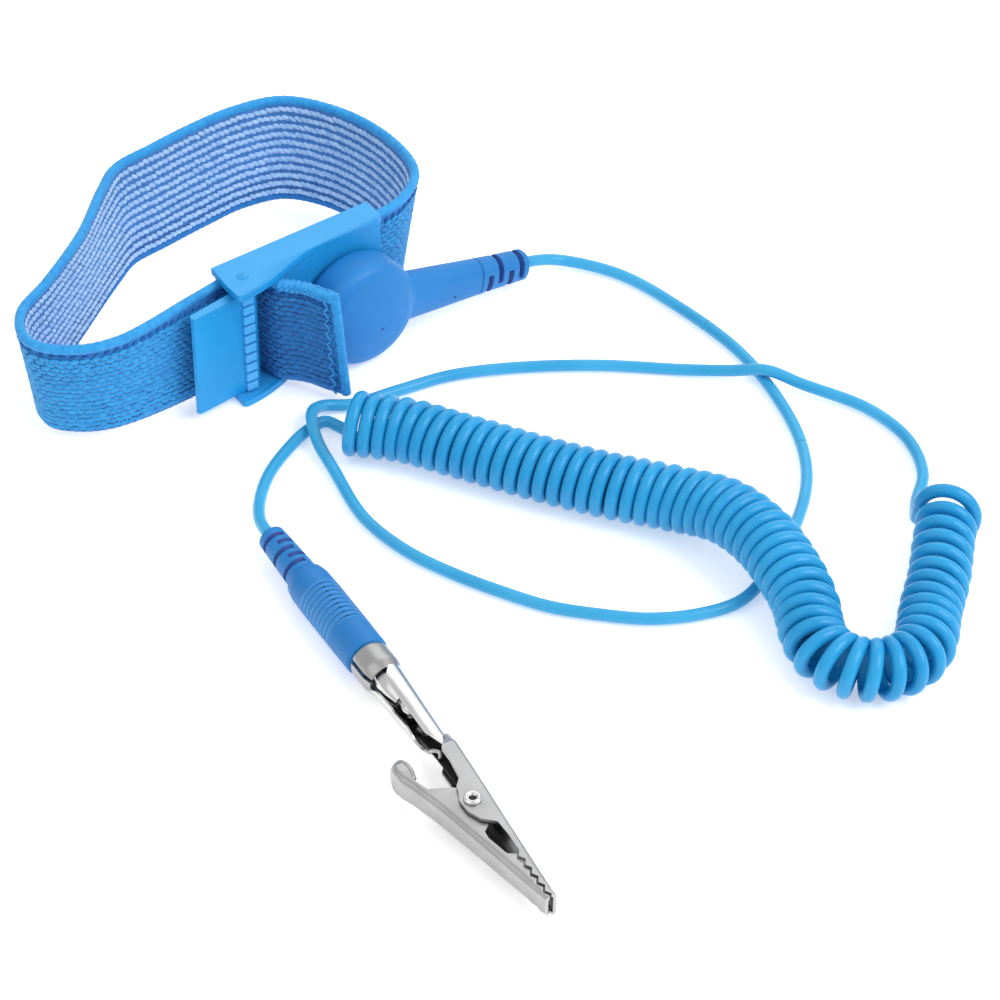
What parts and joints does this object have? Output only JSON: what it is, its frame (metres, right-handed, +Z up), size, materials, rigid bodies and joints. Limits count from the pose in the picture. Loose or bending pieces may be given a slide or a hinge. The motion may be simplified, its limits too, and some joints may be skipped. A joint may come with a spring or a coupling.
{
  "type": "esd wrist strap",
  "caption": "Elastic anti-static wrist band with lever buckle, coiled cord on a press stud, banana plug and crocodile clip, laid out on a table.",
  "frame": {"origin": "middle of the underside of the strap as it lies on a table", "axes": "+Z up from the table; +Y from the clip towards the band; +X towards the coil's far end"},
  "size_m": [0.1718, 0.1984, 0.0254],
  "materials": {
    "band_knit": "knitted elastic, blue outside, white-threaded lining",
    "buckle_plastic": "moulded, satin",
    "connector_vinyl": "soft moulded vinyl",
    "cord_vinyl": "extruded, glossy",
    "steel": "brushed stainless",
    "nickel": "nickel plated",
    "brass": "plain",
    "copper": "bare tinsel copper",
    "resistor_coat": "lacquer"
  },
  "bodies": {
    "strap": {"elastic_band": "band_knit", "buckle_frame": "buckle_plastic", "contact_plate": "steel", "snap_stud": "nickel", "stud_rivet": "steel", "cord_lead": "cord_vinyl", "cord_coil": "cord_vinyl", "cord_plug_run": "cord_vinyl", "plug_grip": "connector_vinyl", "banana_pin": "nickel", "plug_crimp": "brass", "plug_conductor": "copper"},
    "lever": {"clasp_lever": "buckle_plastic"},
    "snap_ring": {"socket_spring": "steel"},
    "snap_connector": {"snap_cover": "connector_vinyl", "snap_socket": "nickel", "resistor_body": "resistor_coat", "resistor_lead_socket": "nickel", "resistor_lead_cord": "nickel", "snap_crimp": "brass", "snap_conductor": "copper", "snap_cord_end": "cord_vinyl"},
    "plug_cage": {"banana_spring": "brass"},
    "clip": {"fixed_jaw": "nickel", "jaw_rivet": "nickel", "jaw_spring": "steel"},
    "clip_jaw": {"moving_jaw": "nickel"}
  },
  "joints": [
    {"name": "lever_open", "type": "hinge", "parent": "strap", "child": "lever", "pos_m": [-0.04532, 0.03762, 0.0127], "axis": [0, 0, 1], "range_deg": [0, 90]},
    {"name": "snap_release", "type": "slide", "parent": "strap", "child": "snap_ring", "axis": [0.6018, -0.7986, 0], "range_m": [0, 0.0035]},
    {"name": "snap_swivel", "type": "hinge", "parent": "snap_ring", "child": "snap_connector", "pos_m": [-0.02604, 0.04926, 0.0109], "axis": [0.6018, -0.7986, 0], "range_deg": [0, 60]},
    {"name": "clip_spin", "type": "hinge", "parent": "strap", "child": "plug_cage", "pos_m": [-0.02092, -0.0412, 0.0041], "axis": [-0.4955, 0.8686, 0], "continuous": true},
    {"name": "clip_pull", "type": "slide", "parent": "plug_cage", "child": "clip", "axis": [0.4955, -0.8686, 0], "range_m": [0, 0.02]},
    {"name": "jaw_open", "type": "hinge", "parent": "clip", "child": "clip_jaw", "pos_m": [-0.00309, -0.07811, 0.0041], "axis": [0, 0, -1], "range_deg": [0, 26]}
  ]
}
